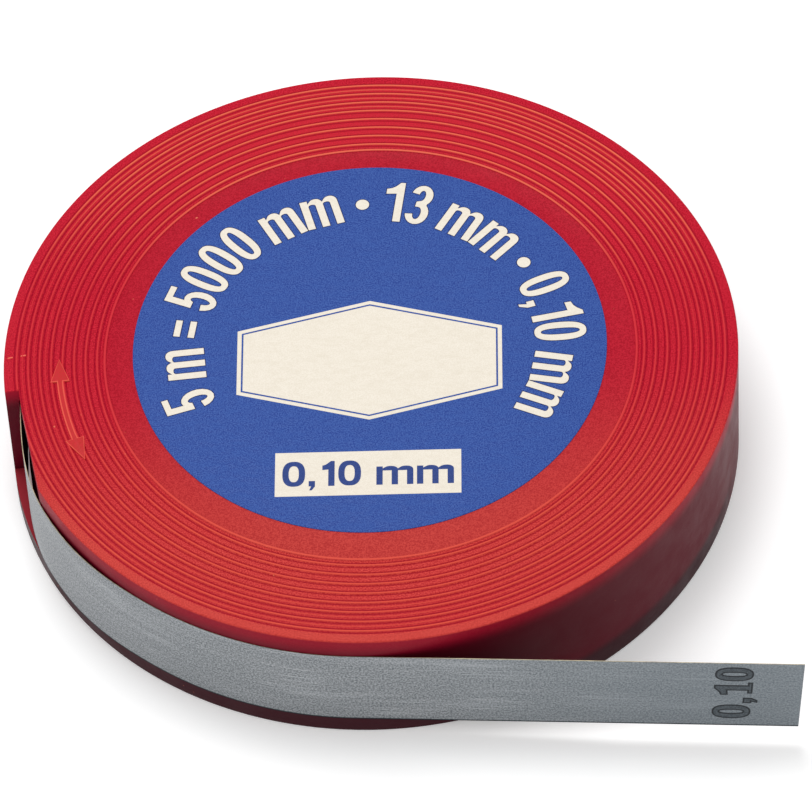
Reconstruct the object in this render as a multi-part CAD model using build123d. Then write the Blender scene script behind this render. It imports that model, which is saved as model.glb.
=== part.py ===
from build123d import *
import math
import os

# Feeler gauge tape dispenser, in millimetres.
# Frame: the case axis is Z, z = 0 is the rim the case stands on, and the free tape leaves along +X
# on the -Y side. Angles are seen from above, counter-clockwise from +X.

# ---- driving dimensions -------------------------------------------------------------------------
CASE_R = 48.0            # outside radius of the case
CASE_H = 19.0            # overall height, to the top of the raised arrow
WALL = 1.7               # side wall thickness
TAPE_W = 13.0            # gauge tape width
TAPE_T = 0.10            # gauge tape thickness
TAPE_STOCK = 4850.0      # length of tape still wound inside
RUN_LENGTH = 57.4        # reach of the free end along +X, at its upper corner
RUN_CUT_BACK = 0.8       # the end is cut slightly off square: the lower corner is this much shorter

# ---- case ---------------------------------------------------------------------------------------
INNER_R = CASE_R - WALL
ROOF_UNDER_Z = 16.6      # underside of the top plate
ROOF_FLOOR_Z = 18.65     # top plate surface between the rings, and under the label
RIM_Z = 18.75            # outer margin
RING_TOP_Z = 18.95       # ring crests
TOP_EDGE_ROUND = 0.25
FOOT_CHAMFER = 0.3
RING_FIRST_R = 35.75
RING_PITCH = 1.505
RING_COUNT = 8
RING_BASE_W = 0.60
RING_CREST_W = 0.24
MARGIN_INNER_R = 46.7
RECESS_EDGE_R = 34.75    # first ring, which frames the label recess

# ---- exit slot ----------------------------------------------------------------------------------
LEDGE_Z = 2.7            # floor of the slot
SLOT_START = 189.6       # end face of the full wall
SLOT_END = 202.4         # tip of the tapered lip
COVER_CUT_R = 46.15      # top plate edge over the slot
FACET_START = 194.0      # from here a flat facet, square to this radius, runs out to the full wall

# ---- raised double arrow ------------------------------------------------------------------------
ARROW_R = 40.7
ARROW_START = 183.6
ARROW_END = 208.2
ARROW_HEAD = 5.3         # angle taken by each head
ARROW_HEAD_W = 2.5
ARROW_SHAFT_W = 0.8
MARK_ANGLE = 182.6       # two short witness marks near the slot
MARK_SPANS = ((45.1, 45.8), (46.8, 47.5))
MARK_W = 0.25
MARK_H = 0.06             # above the margin

# ---- label --------------------------------------------------------------------------------------
LABEL_R = 31.0
LABEL_T = 0.12
LABEL_OFF_X = -0.15      # the label sits slightly off the case centre
LABEL_OFF_Y = 0.65

# ---- tape ---------------------------------------------------------------------------------------
TAPE_Z = 2.8             # lower edge of the tape
LEAD_START = 150.0       # where the tape leaves the stock, inside
LEAD_END = 186.5         # where it starts to cross the wall
LEAD_R = 46.18           # outer surface of the tape while it is still inside the wall
WRAP_R = 48.12           # outer surface of the tape round the outside of the wall
CROSS_END = 211.0        # clear of the slot
BULGE = 0.3              # the tape stands this far off the wall before it settles against it
BULGE_START = 204.0
WRAP_START = 238.0       # flat against the wall from here
LEAVE_ANGLE = 270.0
RUN_GAP = 0.02           # between the wrapped tape and the free end, at the point where they meet
COIL_OUT_R = 45.95
COIL_EDGE_GAP = 0.05
COIL_IN_R = math.sqrt(COIL_OUT_R**2 - TAPE_STOCK * TAPE_T / math.pi)

# ---- turning core -------------------------------------------------------------------------------
BASE_R = 46.0
BASE_Z = 0.5
BASE_TOP_Z = 2.7
CORE_HOLE_R = 8.4        # opening round the screw, in the base disc
DIMPLE_R = 7.5
DIMPLE_AT = 27.0
DIMPLE_DEPTH = 1.3
DIMPLE_ANGLE = 300.0
BASE_RING_COUNT = 7
BASE_RING_H = 0.3
DRUM_Z = 2.75
DRUM_TOP_Z = 16.2
DRUM_R = COIL_IN_R - 0.05
DRUM_RIM_T = 1.5
DRUM_WEB_T = 1.25
DRUM_SPOKES = 6
SPOKE_T = 1.2
SPOKE_TOP_Z = 8.0
HUB_R = 9.0
HUB_Z = 3.1
POST_R = 5.0
POST_RUNNING_FIT = 0.08
POST_END_Z = 2.4
PEG_COUNT = 3
PEG_AT = 16.0
PEG_R = 1.5
PEG_HEAD_R = 2.4
PEG_HEAD_Z = 0.6
PEG_SEAT_Z = 1.3
PEG_GAP = 0.1

# ---- fastenings ---------------------------------------------------------------------------------
SCREW_R = 1.4
SCREW_GAP = 0.02
SCREW_TIP_Z = 13.0
SCREW_HEAD_R = 3.2
SCREW_HEAD_Z = 0.35
SCREW_SLOT_W = 0.8
SCREW_SLOT_L = 4.2
SCREW_SLOT_D = 0.7
WASHER_R = 7.6
WASHER_T = 0.8
SPRING_IN_R = 5.3
SPRING_OUT_R = 7.4
SPRING_T = 0.25
SPRING_LOW_Z = 2.42
SPRING_HIGH_Z = 3.06
PLATE_X = 42.0
PLATE_T = 0.5
PLATE_W = 6.0
PLATE_H = 9.0
RIVET_R = 0.8
RIVET_GAP = 0.05
RIVET_HEAD_R = 1.4
RIVET_HEAD_T = 0.6
RIVET_SPACING = 5.0

TAPE_MID_Z = TAPE_Z + TAPE_W / 2


def polar(radius, degrees):
    """A point in plan at this radius and angle."""
    turn = math.radians(degrees)
    return (radius * math.cos(turn), radius * math.sin(turn))


def tube(outer, inner, low, high):
    """A ring of rectangular section between two heights."""
    ring = Circle(outer) - Circle(inner)
    return extrude(Pos(0, 0, low) * ring, amount=high - low)


def rod(radius, low, high):
    """A round bar on the Z axis between two heights."""
    return extrude(Pos(0, 0, low) * Circle(radius), amount=high - low)


def turned(points):
    """Turn an outline, given as (radius, height) corners, round the Z axis."""
    corners = [(radius, 0, height) for radius, height in points]
    outline = make_face(Polyline(*corners, close=True))
    return revolve(outline, Axis.Z)


def ring_crest(radius, foot_z, crest_z):
    """One raised concentric ring of trapezoid section."""
    sunk = foot_z + (foot_z - crest_z) * 0.5
    half_base = RING_BASE_W / 2
    half_crest = RING_CREST_W / 2
    return turned(
        [
            (radius - half_base, sunk),
            (radius - half_base, foot_z),
            (radius - half_crest, crest_z),
            (radius + half_crest, crest_z),
            (radius + half_base, foot_z),
            (radius + half_base, sunk),
        ]
    )


def arrow():
    """The double-headed arrow, bent round the case axis."""
    shaft = make_face(
        Polyline(polar(ARROW_R + ARROW_SHAFT_W / 2, ARROW_START + ARROW_HEAD / 2),
                 polar(ARROW_R - ARROW_SHAFT_W / 2, ARROW_START + ARROW_HEAD / 2))
        + CenterArc((0, 0), ARROW_R - ARROW_SHAFT_W / 2, ARROW_START + ARROW_HEAD / 2,
                    ARROW_END - ARROW_START - ARROW_HEAD)
        + Polyline(polar(ARROW_R - ARROW_SHAFT_W / 2, ARROW_END - ARROW_HEAD / 2),
                   polar(ARROW_R + ARROW_SHAFT_W / 2, ARROW_END - ARROW_HEAD / 2))
        + CenterArc((0, 0), ARROW_R + ARROW_SHAFT_W / 2, ARROW_START + ARROW_HEAD / 2,
                    ARROW_END - ARROW_START - ARROW_HEAD)
    )
    plan = shaft
    for tip, base in ((ARROW_START, ARROW_START + ARROW_HEAD), (ARROW_END, ARROW_END - ARROW_HEAD)):
        plan += make_face(
            Polyline(
                polar(ARROW_R, tip),
                polar(ARROW_R - ARROW_HEAD_W / 2, base),
                polar(ARROW_R + ARROW_HEAD_W / 2, base),
                close=True,
            )
        )
    sunk = 0.2
    return extrude(Pos(0, 0, ROOF_FLOOR_Z - sunk) * plan, amount=CASE_H - ROOF_FLOOR_Z + sunk)


def witness_marks():
    """Two short radial marks on the margin, just before the slot."""
    sunk = 0.1
    height = RIM_Z + MARK_H - ROOF_FLOOR_Z + sunk
    marks = []
    for inner, outer in MARK_SPANS:
        bar = Box(outer - inner, MARK_W, height)
        middle_z = ROOF_FLOOR_Z - sunk + height / 2
        marks.append(Rot(0, 0, MARK_ANGLE) * Pos((inner + outer) / 2, 0, middle_z) * bar)
    return marks


def slot_cut():
    """What the exit slot takes out of the wall and out of the edge of the top plate."""
    far = CASE_R + 4
    reach = math.degrees(math.acos(COVER_CUT_R / CASE_R)) + 1
    facet_end = polar(COVER_CUT_R / math.cos(math.radians(reach)), FACET_START + reach)
    edge = make_face(
        CenterArc((0, 0), COVER_CUT_R, SLOT_START, FACET_START - SLOT_START)
        + Polyline(polar(COVER_CUT_R, FACET_START), facet_end, polar(far, FACET_START + reach),
                   polar(far, FACET_START), polar(far, SLOT_START), polar(COVER_CUT_R, SLOT_START))
    )
    window = make_face(
        CenterArc((0, 0), INNER_R - 1, SLOT_START, SLOT_END - SLOT_START)
        + Polyline(polar(INNER_R - 1, SLOT_END), polar(far, SLOT_END), polar(far, SLOT_START),
                   polar(INNER_R - 1, SLOT_START))
    )
    over = extrude(Pos(0, 0, LEDGE_Z) * edge, amount=CASE_H)
    through = extrude(Pos(0, 0, LEDGE_Z) * window, amount=ROOF_UNDER_Z - LEDGE_Z)
    return over + through


def upper_shell():
    body = rod(CASE_R, 0, RIM_Z)
    top_edge = body.edges().sort_by(Axis.Z)[-1]
    body = fillet(top_edge, TOP_EDGE_ROUND)
    foot_edge = body.edges().filter_by(GeomType.CIRCLE).sort_by(Axis.Z)[0]
    body = chamfer(foot_edge, FOOT_CHAMFER)
    body -= rod(INNER_R, -1, ROOF_UNDER_Z)
    body -= rod(MARGIN_INNER_R, ROOF_FLOOR_Z, CASE_H + 1)
    body += ring_crest(RECESS_EDGE_R, ROOF_FLOOR_Z, RIM_Z)
    for index in range(RING_COUNT):
        body += ring_crest(RING_FIRST_R + index * RING_PITCH, ROOF_FLOOR_Z, RING_TOP_Z)
    body += arrow()
    for mark in witness_marks():
        body += mark
    body -= slot_cut()
    body += rod(POST_R, POST_END_Z, ROOF_UNDER_Z + 0.5)
    body -= rod(SCREW_R + SCREW_GAP, POST_END_Z - 1, SCREW_TIP_Z + 1)
    return body


def front_label():
    return Pos(LABEL_OFF_X, LABEL_OFF_Y, 0) * rod(LABEL_R, ROOF_FLOOR_Z, ROOF_FLOOR_Z + LABEL_T)


def crossing_radius(angle):
    """Outer surface of the tape between the inside of the case and the outside of the wall."""
    share = min((angle - LEAD_END) / (CROSS_END - LEAD_END), 1)
    radius = LEAD_R + (WRAP_R - LEAD_R) * share * share * (3 - 2 * share)
    if angle > BULGE_START:
        swell = math.sin(math.pi * (angle - BULGE_START) / (WRAP_START - BULGE_START))
        radius += BULGE * swell * swell
    return radius


def tape_edge(inset):
    """One long surface of the tape in plan, this far in from its outer surface."""
    lead = CenterArc((0, 0), LEAD_R - inset, LEAD_START, LEAD_END - LEAD_START)
    wrap = CenterArc((0, 0), WRAP_R - inset, WRAP_START, LEAVE_ANGLE - WRAP_START)
    steps = 16
    points = []
    for index in range(steps + 1):
        angle = LEAD_END + (WRAP_START - LEAD_END) * index / steps
        points.append(polar(crossing_radius(angle) - inset, angle))
    start_direction = polar(1, LEAD_END + 90)
    end_direction = polar(1, WRAP_START + 90)
    crossing = Spline(*points, tangents=(start_direction, end_direction))
    return lead + crossing + wrap


def tape_wrap():
    start_line = Line(polar(LEAD_R - TAPE_T, LEAD_START), polar(LEAD_R, LEAD_START))
    end_line = Line(polar(WRAP_R - TAPE_T, LEAVE_ANGLE), polar(WRAP_R, LEAVE_ANGLE))
    plan = make_face(tape_edge(0) + end_line + tape_edge(TAPE_T) + start_line)
    return extrude(Pos(0, 0, TAPE_Z) * plan, amount=TAPE_W)


def tape_run():
    """The straight free end, cut slightly off square at its tip."""
    side = make_face(
        Polyline((RUN_GAP, TAPE_Z), (RUN_LENGTH - RUN_CUT_BACK, TAPE_Z),
                 (RUN_LENGTH, TAPE_Z + TAPE_W), (RUN_GAP, TAPE_Z + TAPE_W), close=True)
    )
    strip = extrude(Plane.XZ * side, amount=TAPE_T)
    return Pos(0, TAPE_T - WRAP_R, 0) * strip


def tape_coil():
    return tube(COIL_OUT_R, COIL_IN_R, TAPE_Z + COIL_EDGE_GAP, TAPE_Z + TAPE_W - COIL_EDGE_GAP)


def around(count, radius, shape):
    """Copies of a shape, evenly spaced round the Z axis at this radius."""
    copies = []
    for index in range(count):
        copies.append(Rot(0, 0, index * 360 / count) * Pos(radius, 0, 0) * shape)
    return copies


def base_disc():
    body = tube(BASE_R, CORE_HOLE_R, BASE_Z, BASE_TOP_Z)
    for index in range(BASE_RING_COUNT):
        body += ring_crest(RING_FIRST_R + index * RING_PITCH, BASE_Z, BASE_Z - BASE_RING_H)
    body += ring_crest(CORE_HOLE_R + RING_BASE_W, BASE_Z, BASE_Z - BASE_RING_H)
    dimple = rod(DIMPLE_R, BASE_Z - 1, BASE_Z + DIMPLE_DEPTH)
    body -= Rot(0, 0, DIMPLE_ANGLE) * Pos(DIMPLE_AT, 0, 0) * dimple
    for hole in around(PEG_COUNT, PEG_AT, rod(PEG_R + PEG_GAP, BASE_Z - 1, BASE_TOP_Z + 1)):
        body -= hole
    for seat in around(PEG_COUNT, PEG_AT, rod(PEG_HEAD_R + PEG_GAP, BASE_Z - 1, PEG_SEAT_Z)):
        body -= seat
    return body


def winding_drum():
    body = tube(DRUM_R, DRUM_R - DRUM_RIM_T, DRUM_Z, DRUM_TOP_Z)
    body += tube(DRUM_R - DRUM_RIM_T / 2, CORE_HOLE_R, DRUM_Z, DRUM_Z + DRUM_WEB_T)
    body += tube(HUB_R, POST_R + POST_RUNNING_FIT, HUB_Z, DRUM_TOP_Z)
    spoke_length = DRUM_R - DRUM_RIM_T / 2 - (HUB_R - 0.5)
    spoke_height = SPOKE_TOP_Z - DRUM_Z
    spoke = Pos(0, 0, DRUM_Z + spoke_height / 2) * Box(spoke_length, SPOKE_T, spoke_height)
    middle = (HUB_R - 0.5 + DRUM_R - DRUM_RIM_T / 2) / 2
    for arm in around(DRUM_SPOKES, middle, spoke):
        body += Rot(0, 0, 180 / DRUM_SPOKES) * arm
    peg = rod(PEG_R, PEG_HEAD_Z, DRUM_Z + 0.5) + rod(PEG_HEAD_R, PEG_HEAD_Z, PEG_SEAT_Z - PEG_GAP)
    for stake in around(PEG_COUNT, PEG_AT, peg):
        body += stake
    for z in (-RIVET_SPACING / 2, RIVET_SPACING / 2):
        hole = Cylinder(RIVET_R + RIVET_GAP, 6, rotation=(0, 90, 0))
        body -= Pos(DRUM_R, 0, TAPE_MID_Z + z) * hole
    return body


def anchor_plate():
    body = Pos(PLATE_X + PLATE_T / 2, 0, TAPE_MID_Z) * Box(PLATE_T, PLATE_W, PLATE_H)
    for z in (-RIVET_SPACING / 2, RIVET_SPACING / 2):
        hole = Cylinder(RIVET_R + RIVET_GAP, 3, rotation=(0, 90, 0))
        body -= Pos(PLATE_X, 0, TAPE_MID_Z + z) * hole
    return body


def anchor_rivets():
    rivets = []
    shank_length = DRUM_R - 0.05 - PLATE_X
    for z in (-RIVET_SPACING / 2, RIVET_SPACING / 2):
        shank = Pos(PLATE_X + shank_length / 2, 0, 0) * Cylinder(RIVET_R, shank_length, rotation=(0, 90, 0))
        head = Pos(PLATE_X - RIVET_HEAD_T / 2, 0, 0) * Cylinder(RIVET_HEAD_R, RIVET_HEAD_T, rotation=(0, 90, 0))
        rivets.append(Pos(0, 0, TAPE_MID_Z + z) * (shank + head))
    return Compound(children=rivets)


def spring_washer():
    return turned(
        [
            (SPRING_IN_R, SPRING_HIGH_Z - SPRING_T),
            (SPRING_IN_R, SPRING_HIGH_Z),
            (SPRING_OUT_R, SPRING_LOW_Z + SPRING_T),
            (SPRING_OUT_R, SPRING_LOW_Z),
        ]
    )


def pivot_washer():
    return tube(WASHER_R, SCREW_R + 0.2, POST_END_Z - WASHER_T, POST_END_Z)


def pivot_screw():
    head_top = POST_END_Z - WASHER_T
    body = rod(SCREW_R, head_top - 0.1, SCREW_TIP_Z)
    tip_edge = body.edges().sort_by(Axis.Z)[-1]
    body = chamfer(tip_edge, SCREW_R * 0.6)
    head = rod(SCREW_HEAD_R, SCREW_HEAD_Z, head_top)
    head_edge = head.edges().filter_by(GeomType.CIRCLE).sort_by(Axis.Z)[0]
    body += fillet(head_edge, 0.6)
    slot_z = SCREW_HEAD_Z + SCREW_SLOT_D / 2 - 0.1
    for turn in (0, 90):
        bar = Box(SCREW_SLOT_L, SCREW_SLOT_W, SCREW_SLOT_D + 0.2)
        body -= Rot(0, 0, turn) * Pos(0, 0, slot_z) * bar
    return body


NODES = {
    "upper_shell": upper_shell,
    "front_label": front_label,
    "tape_run": tape_run,
    "tape_wrap": tape_wrap,
    "tape_coil": tape_coil,
    "base_disc": base_disc,
    "winding_drum": winding_drum,
    "anchor_plate": anchor_plate,
    "anchor_rivets": anchor_rivets,
    "spring_washer": spring_washer,
    "pivot_washer": pivot_washer,
    "pivot_screw": pivot_screw,
}

os.makedirs("parts", exist_ok=True)
for name, build in NODES.items():
    shape = build()
    print(name, "volume", round(shape.volume, 1), "mm3")
    export_step(shape, f"parts/{name}.step")
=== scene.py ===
import math
from types import SimpleNamespace

import bmesh
import bpy
from mathutils import Matrix, Vector


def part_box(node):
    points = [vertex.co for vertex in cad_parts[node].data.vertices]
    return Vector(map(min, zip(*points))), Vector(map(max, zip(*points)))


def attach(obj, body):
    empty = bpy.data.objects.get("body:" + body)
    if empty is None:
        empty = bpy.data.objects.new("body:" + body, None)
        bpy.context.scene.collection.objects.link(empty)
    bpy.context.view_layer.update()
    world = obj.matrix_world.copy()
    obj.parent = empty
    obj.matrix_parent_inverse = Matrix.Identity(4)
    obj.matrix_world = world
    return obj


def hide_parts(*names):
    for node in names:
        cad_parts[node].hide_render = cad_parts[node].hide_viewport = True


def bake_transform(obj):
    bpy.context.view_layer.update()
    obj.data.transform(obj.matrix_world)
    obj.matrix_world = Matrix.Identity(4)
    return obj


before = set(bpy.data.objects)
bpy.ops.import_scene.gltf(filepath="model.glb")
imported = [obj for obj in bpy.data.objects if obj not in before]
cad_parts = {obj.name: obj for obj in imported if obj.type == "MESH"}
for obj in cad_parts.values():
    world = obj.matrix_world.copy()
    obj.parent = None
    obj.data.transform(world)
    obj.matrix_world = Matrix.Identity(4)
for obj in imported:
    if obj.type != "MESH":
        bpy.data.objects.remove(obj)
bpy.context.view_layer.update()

# ---- sizes, in metres, from the frame -----------------------------------------------------------
MM = 0.001
SHELL_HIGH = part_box("upper_shell")[1]
LABEL_LOW, LABEL_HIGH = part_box("front_label")
RUN_LOW, RUN_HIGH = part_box("tape_run")
COIL_LOW, COIL_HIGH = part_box("tape_coil")
CASE_R = SHELL_HIGH.x
CASE_TOP = SHELL_HIGH.z
TAPE_LOW_Z = RUN_LOW.z
TAPE_HIGH_Z = RUN_HIGH.z
TAPE_T = RUN_HIGH.y - RUN_LOW.y
WRAP_R = -RUN_LOW.y
RUN_END_X = RUN_HIGH.x

# ---- case, in millimetres -----------------------------------------------------------------------
INNER_R = 46.3
ROOF_UNDER_Z = 16.6
PLAIN_Z = 18.76          # surface between the rings
RECESS_Z = 18.65         # label recess
RECESS_R = 34.5
RECESS_LIP_R = RECESS_R + 0.26   # the small raised lip round it
MARGIN_Z = 18.75
MARGIN_INNER_R = 46.7
RING_FIRST_R = 35.75
RING_PITCH = 1.505
RING_COUNT = 8
RING_HALF_W = 0.2
RING_H = 0.19
GROOVE_HALF_W = 0.13
GROOVE_D = 0.07
MINOR_FROM = 5           # the fine lines halfway between rings start after this ring
MINOR_START_R = 42.0     # they lie outside this radius
MINOR_HALF_W = 0.16
MINOR_H = 0.08
EDGE_ROUND = 0.25
FOOT_ROUND = 0.3
POST_R = 5.0
POST_END_Z = 2.4
BORE_R = 1.42
BORE_TOP_Z = 14.0
CASE_SEGMENTS = 576

LEDGE_Z = 2.7            # bottom of the slot the tape comes out of
SLOT_START = 189.6       # angles in degrees, anticlockwise from +X
SLOT_END = 202.4
COVER_CUT_R = 46.15      # the wall is cut back to this radius, and along a flat from FACET_START
FACET_START = 194.0

ARROW_R = 40.7
ARROW_START = 183.6
ARROW_END = 208.2
ARROW_HEAD = 5.3
ARROW_HEAD_W = 2.5
ARROW_SHAFT_W = 0.8
MARK_ANGLE = 182.6
MARK_SPANS = ((45.1, 45.8), (46.8, 47.5))
MARK_LEVEL_R = 46.3
MARK_LEAN = 0.24          # degrees per millimetre outwards: the marks aren't quite radial
MARK_W = 0.22

# ---- tape path, in millimetres ------------------------------------------------------------------
LEAD_START = 150.0
LEAD_END = 186.5
LEAD_R = 46.18
CROSS_END = 211.0
BULGE = 0.3               # the tape stands this far off the wall before it settles against it
BULGE_START = 204.0
WRAP_START = 238.0
LEAVE_ANGLE = 270.0
RUN_CUT_BACK = 0.8        # the lower corner of the free end is this much shorter than the upper one
MARKING_LENGTH = 10.5     # the figures near the free end, measured up the tape
MARKING_FROM_END = 6.75
MARKING_RAISE = 0.35      # above the middle of the tape
STOCK_INNER_R = 44.29
STOCK_TURNS = 16
STOCK_STEPS = 120         # a turn

# ---- label --------------------------------------------------------------------------------------
LABEL_TURN = math.radians(2.9)
PRINT_T = 0.02 * MM
SUNK = 0.004 * MM         # each printed layer is sunk this far into what is under it


def polar(radius, degrees):
    turn = math.radians(degrees)
    return (radius * math.cos(turn), radius * math.sin(turn))


# ---- materials ----------------------------------------------------------------------------------
class Shader:
    """A small helper that builds one node material around a Principled shader."""

    def __init__(self, name):
        self.material = bpy.data.materials.new(name)
        self.material.use_nodes = True
        self.tree = self.material.node_tree
        self.principled = self.tree.nodes["Principled BSDF"]

    def node(self, kind, **settings):
        made = self.tree.nodes.new(kind)
        for key, value in settings.items():
            setattr(made, key, value)
        return made

    def feed(self, socket, value):
        if isinstance(value, bpy.types.NodeSocket):
            self.tree.links.new(value, socket)
        else:
            socket.default_value = value

    def set(self, name, value):
        self.feed(self.principled.inputs[name], value)

    def math(self, operation, first, second=0.0):
        made = self.node("ShaderNodeMath", operation=operation)
        self.feed(made.inputs[0], first)
        self.feed(made.inputs[1], second)
        return made.outputs[0]

    def times(self, first, *others):
        for other in others:
            first = self.math("MULTIPLY", first, other)
        return first

    def ramp(self, value, low, high, to_low=0.0, to_high=1.0):
        """A smooth step from to_low at low to to_high at high; low may be above high."""
        made = self.node("ShaderNodeMapRange", interpolation_type="SMOOTHSTEP")
        for socket, given in zip(made.inputs, (value, low, high, to_low, to_high)):
            self.feed(socket, given)
        return made.outputs[0]

    def ramp_mm(self, value, low, high):
        """A smooth step from 0 to 1 between two places in millimetres."""
        return self.ramp(value, low * MM, high * MM)

    def mix(self, factor, first, second):
        made = self.node("ShaderNodeMix", data_type="RGBA")
        self.feed(made.inputs["Factor"], factor)
        self.feed(made.inputs[6], first)
        self.feed(made.inputs[7], second)
        return made.outputs[2]

    def coords(self, kind="Object", scale=(1, 1, 1)):
        source = self.node("ShaderNodeTexCoord").outputs[kind]
        mapping = self.node("ShaderNodeMapping")
        self.feed(mapping.inputs["Vector"], source)
        mapping.inputs["Scale"].default_value = scale
        return mapping.outputs[0]

    def noise(self, vector, scale, detail=3.0, roughness=0.55):
        made = self.node("ShaderNodeTexNoise")
        self.feed(made.inputs["Vector"], vector)
        made.inputs["Scale"].default_value = scale
        made.inputs["Detail"].default_value = detail
        made.inputs["Roughness"].default_value = roughness
        return made.outputs["Fac"]

    def bump(self, height, strength, distance):
        made = self.node("ShaderNodeBump")
        made.inputs["Strength"].default_value = strength
        made.inputs["Distance"].default_value = distance
        self.feed(made.inputs["Height"], height)
        self.set("Normal", made.outputs[0])

    def split(self, vector):
        made = self.node("ShaderNodeSeparateXYZ")
        self.feed(made.inputs[0], vector)
        return made.outputs


def rgb(red, green, blue):
    """A linear colour from 0-255 display values."""
    linear = []
    for level in (red, green, blue):
        share = level / 255
        linear.append(share / 12.92 if share <= 0.04045 else ((share + 0.055) / 1.055) ** 2.4)
    return (*linear, 1.0)


def case_zones(s, x, y, z):
    """Masks for the parts of the case, from 0 to 1."""
    radius = s.math("SQRT", s.math("ADD", s.times(x, x), s.times(y, y)))
    top = s.ramp_mm(z, 18.5, 18.6)
    inside_margin = s.ramp_mm(radius, MARGIN_INNER_R + 0.1, MARGIN_INNER_R)
    phase = s.math("DIVIDE", s.math("SUBTRACT", radius, RING_FIRST_R * MM), RING_PITCH * MM)
    off_lip = s.math("ABSOLUTE", s.math("SUBTRACT", radius, RECESS_LIP_R * MM))
    wall = s.ramp_mm(radius, INNER_R - 0.4, INNER_R - 0.1)
    # upright faces: the wall's painted shade and the ledge's painted light follow the slope of the face
    upright = s.ramp(s.split(s.coords("Normal"))[2], 0.9, 0.5)
    return SimpleNamespace(
        radius=radius,
        rings=s.times(top, s.ramp_mm(radius, 35.1, 35.3), inside_margin),
        from_ring=s.math("ABSOLUTE", s.math("SUBTRACT", s.math("FRACT", s.math("ADD", phase, 0.5)), 0.5)),
        flat=s.times(top, s.ramp_mm(radius, 35.2, 34.9)),
        lip=s.times(top, s.ramp_mm(off_lip, 0.2, 0.08)),
        margin=s.times(top, s.ramp_mm(radius, MARGIN_INNER_R + 0.05, MARGIN_INNER_R + 0.2)),
        # painted glow just below the top edge, light through the plastic
        glow_below_edge=s.times(wall, s.ramp_mm(z, 18.72, 18.4)),
        # painted shade: the upright wall is a darker plum below the glow
        side=s.times(wall, upright, s.ramp_mm(z, 18.3, 15.2)),
        # painted light: the upward faces of the slot's ledge are paler
        ledge=s.times(wall, s.math("SUBTRACT", 1.0, upright), s.ramp_mm(z, 6.0, 4.0)),
        # painted shadow under the tape, at the foot of the wall at the front
        foot=s.times(wall, upright, s.ramp_mm(y, -4.0, -16.0), s.ramp_mm(z, 4.5, 2.6)),
    )


def deep_red(s, zone, near, far):
    """The darker of the two reds in the grain: a little darker again between the rings, with a painted sheen
    that makes the rings paler towards the back.
    """
    between = s.times(zone.rings, s.math("SUBTRACT", 0.65, s.times(near, 0.5)))
    deep = s.mix(between, rgb(166, 2, 30), rgb(162, 1, 26))
    # painted sheen: the rings are paler towards the back
    return s.mix(s.times(far, zone.rings, 0.5), deep, rgb(204, 46, 54))


def top_shades(s, body, zone, near, far):
    """The flat round the label, the shallow grooves, the ring crests and the margin, in painted light and
    shade: painted sheen towards the front, painted shade in the grooves and on the outer rings, and painted
    highlights on the crests, the fine lines and the lip.
    """
    # painted sheen: the flat round the label is paler and more orange towards the front
    body = s.mix(s.times(zone.flat, 0.4), body, s.mix(near, rgb(160, 16, 38), rgb(176, 60, 54)))
    # painted shade: the outer rings are darker at the front, where the painted sheen fades
    outer = s.times(s.ramp_mm(zone.radius, 40.0, 44.0), zone.rings, near)
    body = s.mix(s.times(outer, 0.35), body, rgb(184, 30, 50))
    # painted shade in the grooves beside each ring
    groove = s.times(s.ramp(zone.from_ring, 0.13, 0.18), s.ramp(zone.from_ring, 0.31, 0.26))
    body = s.mix(s.times(groove, zone.rings, 0.6), body, rgb(152, 2, 38))
    # painted highlight on the ring crests and the lip, paler towards the front and the back
    crest_highlight = s.mix(far, s.mix(near, rgb(216, 54, 62), rgb(228, 88, 70)), rgb(242, 114, 84))
    lit = s.times(s.ramp(zone.from_ring, 0.115, 0.05), zone.rings)
    body = s.mix(s.math("MAXIMUM", lit, s.times(zone.lip, 0.8)), body, crest_highlight)
    from_half = s.math("SUBTRACT", 0.5, zone.from_ring)
    # painted highlight on the fine lines between the outer rings
    outside = s.ramp_mm(zone.radius, MINOR_START_R - 0.2, MINOR_START_R + 0.2)
    minor = s.times(s.ramp(from_half, 0.09, 0.03), outside)
    body = s.mix(s.times(minor, zone.rings, 0.55), body, crest_highlight)
    # painted sheen on the margin towards the front
    return s.mix(s.times(zone.margin, near, 0.4), body, rgb(204, 74, 62))


def wall_shades(s, body, zone, near):
    """The wall, in painted light and shade: a painted crimson glow below the edge, painted plum shade on the
    upright faces, a painted shadow at the foot under the tape, and painted light on the slot's upward ledge.
    """
    # painted glow below the edge
    body = s.mix(s.times(zone.glow_below_edge, 0.9), body, s.mix(near, rgb(160, 4, 42), rgb(136, 0, 34)))
    # painted shade on the upright wall
    body = s.mix(zone.side, body, rgb(90, 3, 24))
    # painted light on the slot's ledge
    body = s.mix(s.times(zone.ledge, 0.7), body, rgb(150, 48, 54))
    # painted shadow under the tape at the foot
    return s.mix(s.times(zone.foot, 0.8), body, rgb(40, 10, 20))


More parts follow.
